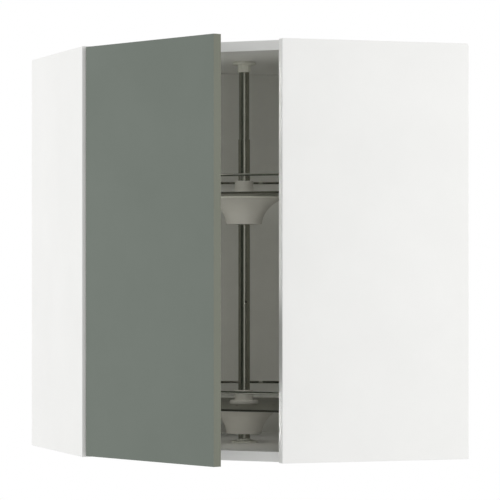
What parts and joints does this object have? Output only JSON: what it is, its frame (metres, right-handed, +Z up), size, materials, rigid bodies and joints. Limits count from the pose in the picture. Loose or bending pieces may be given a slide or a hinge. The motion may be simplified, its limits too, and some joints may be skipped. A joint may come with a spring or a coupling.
{
  "type": "corner carousel wall cabinet",
  "caption": "Diagonal corner wall cabinet with a hinged grey-green door over round railed shelves that turn on a central telescopic post",
  "frame": {"origin": "on the carousel's axis, on the underside of the bottom panel", "axes": "+Z up along the carousel's axis; +X and +Y point square into the two walls of the corner; the diagonal door faces -X and -Y"},
  "size_m": [0.686, 0.7564, 0.8],
  "materials": {
    "white_board": "white foil on particle board, fine matt grain",
    "back_board": "white paint on thin fibreboard",
    "door_lacquer": "matt grey-green foil on fibreboard",
    "shelf_sheet": "dark brown-grey sheet, satin gloss",
    "grey_plastic": "warm grey moulded plastic",
    "chrome_tube": "smoked chrome plating",
    "zinc_steel": "nickel-plated pressed steel",
    "clear_rubber": "soft translucent rubber"
  },
  "bodies": {
    "cabinet": {"left_side_panel": "white_board", "right_side_panel": "white_board", "top_panel": "white_board", "bottom_panel": "white_board", "back_corner_post": "white_board", "back_board_left": "back_board", "back_board_right": "back_board", "hanger_housing_left": "grey_plastic", "hanger_housing_right": "grey_plastic", "hanger_hook_left": "zinc_steel", "hanger_hook_right": "zinc_steel", "hinge_plate_lower": "zinc_steel", "hinge_plate_upper": "zinc_steel", "hinge_arm_lower": "zinc_steel", "hinge_arm_upper": "zinc_steel", "floor_bearing": "grey_plastic", "ceiling_bearing": "grey_plastic", "post_lower_tube": "chrome_tube", "post_upper_tube": "chrome_tube", "post_lock_screw": "zinc_steel", "lower_shelf_clamp": "zinc_steel", "upper_shelf_clamp": "zinc_steel", "lower_shelf_washer": "clear_rubber", "upper_shelf_washer": "clear_rubber"},
    "door": {"door_panel": "door_lacquer", "hinge_cup_lower": "zinc_steel", "hinge_cup_upper": "zinc_steel", "door_bumper_lower": "clear_rubber", "door_bumper_upper": "clear_rubber"},
    "long_link_lower": {"hinge_long_link_lower": "zinc_steel"},
    "long_link_upper": {"hinge_long_link_upper": "zinc_steel"},
    "short_link_lower": {"hinge_short_link_lower": "zinc_steel"},
    "short_link_upper": {"hinge_short_link_upper": "zinc_steel"},
    "lower_shelf": {"lower_shelf_board": "shelf_sheet", "lower_shelf_hub": "grey_plastic", "lower_shelf_spool": "grey_plastic", "lower_shelf_rail": "chrome_tube", "lower_rail_post_1": "grey_plastic", "lower_rail_post_2": "grey_plastic", "lower_rail_post_3": "grey_plastic", "lower_rail_post_4": "grey_plastic", "lower_rail_post_5": "grey_plastic", "lower_rail_post_6": "grey_plastic", "lower_rail_post_7": "grey_plastic", "lower_rail_post_8": "grey_plastic"},
    "upper_shelf": {"upper_shelf_board": "shelf_sheet", "upper_shelf_hub": "grey_plastic", "upper_shelf_spool": "grey_plastic", "upper_shelf_rail": "chrome_tube", "upper_rail_post_1": "grey_plastic", "upper_rail_post_2": "grey_plastic", "upper_rail_post_3": "grey_plastic", "upper_rail_post_4": "grey_plastic", "upper_rail_post_5": "grey_plastic", "upper_rail_post_6": "grey_plastic", "upper_rail_post_7": "grey_plastic", "upper_rail_post_8": "grey_plastic"}
  },
  "joints": [
    {"name": "door_hinge", "type": "hinge", "parent": "cabinet", "child": "door", "pos_m": [-0.34342, -0.00972, 0.4], "axis": [0, 0, -1], "range_deg": [-24.5, 70.5]},
    {"name": "long_link_lower_turn", "type": "hinge", "parent": "cabinet", "child": "long_link_lower", "pos_m": [-0.3165, -0.0196, 0.099], "axis": [0, 0, -1], "range_deg": [-24.5, 70.5]},
    {"name": "short_link_lower_turn", "type": "hinge", "parent": "long_link_lower", "child": "short_link_lower", "pos_m": [-0.30075, -0.07029, 0.099], "axis": [0, 0, -1], "range_deg": [-70.5, 24.5]},
    {"name": "long_link_upper_turn", "type": "hinge", "parent": "cabinet", "child": "long_link_upper", "pos_m": [-0.3165, -0.0196, 0.701], "axis": [0, 0, -1], "range_deg": [-24.5, 70.5]},
    {"name": "short_link_upper_turn", "type": "hinge", "parent": "long_link_upper", "child": "short_link_upper", "pos_m": [-0.30075, -0.07029, 0.701], "axis": [0, 0, -1], "range_deg": [-70.5, 24.5]},
    {"name": "lower_shelf_spin", "type": "hinge", "parent": "cabinet", "child": "lower_shelf", "pos_m": [0, 0, 0.094], "axis": [0, 0, 1], "range_deg": [-360, 360]},
    {"name": "upper_shelf_spin", "type": "hinge", "parent": "cabinet", "child": "upper_shelf", "pos_m": [0, 0, 0.5125], "axis": [0, 0, 1], "range_deg": [-360, 360]}
  ],
  "couplings": [
    {"joint": "long_link_lower_turn", "follows": "door_hinge", "ratio": 1},
    {"joint": "short_link_lower_turn", "follows": "door_hinge", "ratio": -1},
    {"joint": "long_link_upper_turn", "follows": "door_hinge", "ratio": 1},
    {"joint": "short_link_upper_turn", "follows": "door_hinge", "ratio": -1}
  ]
}
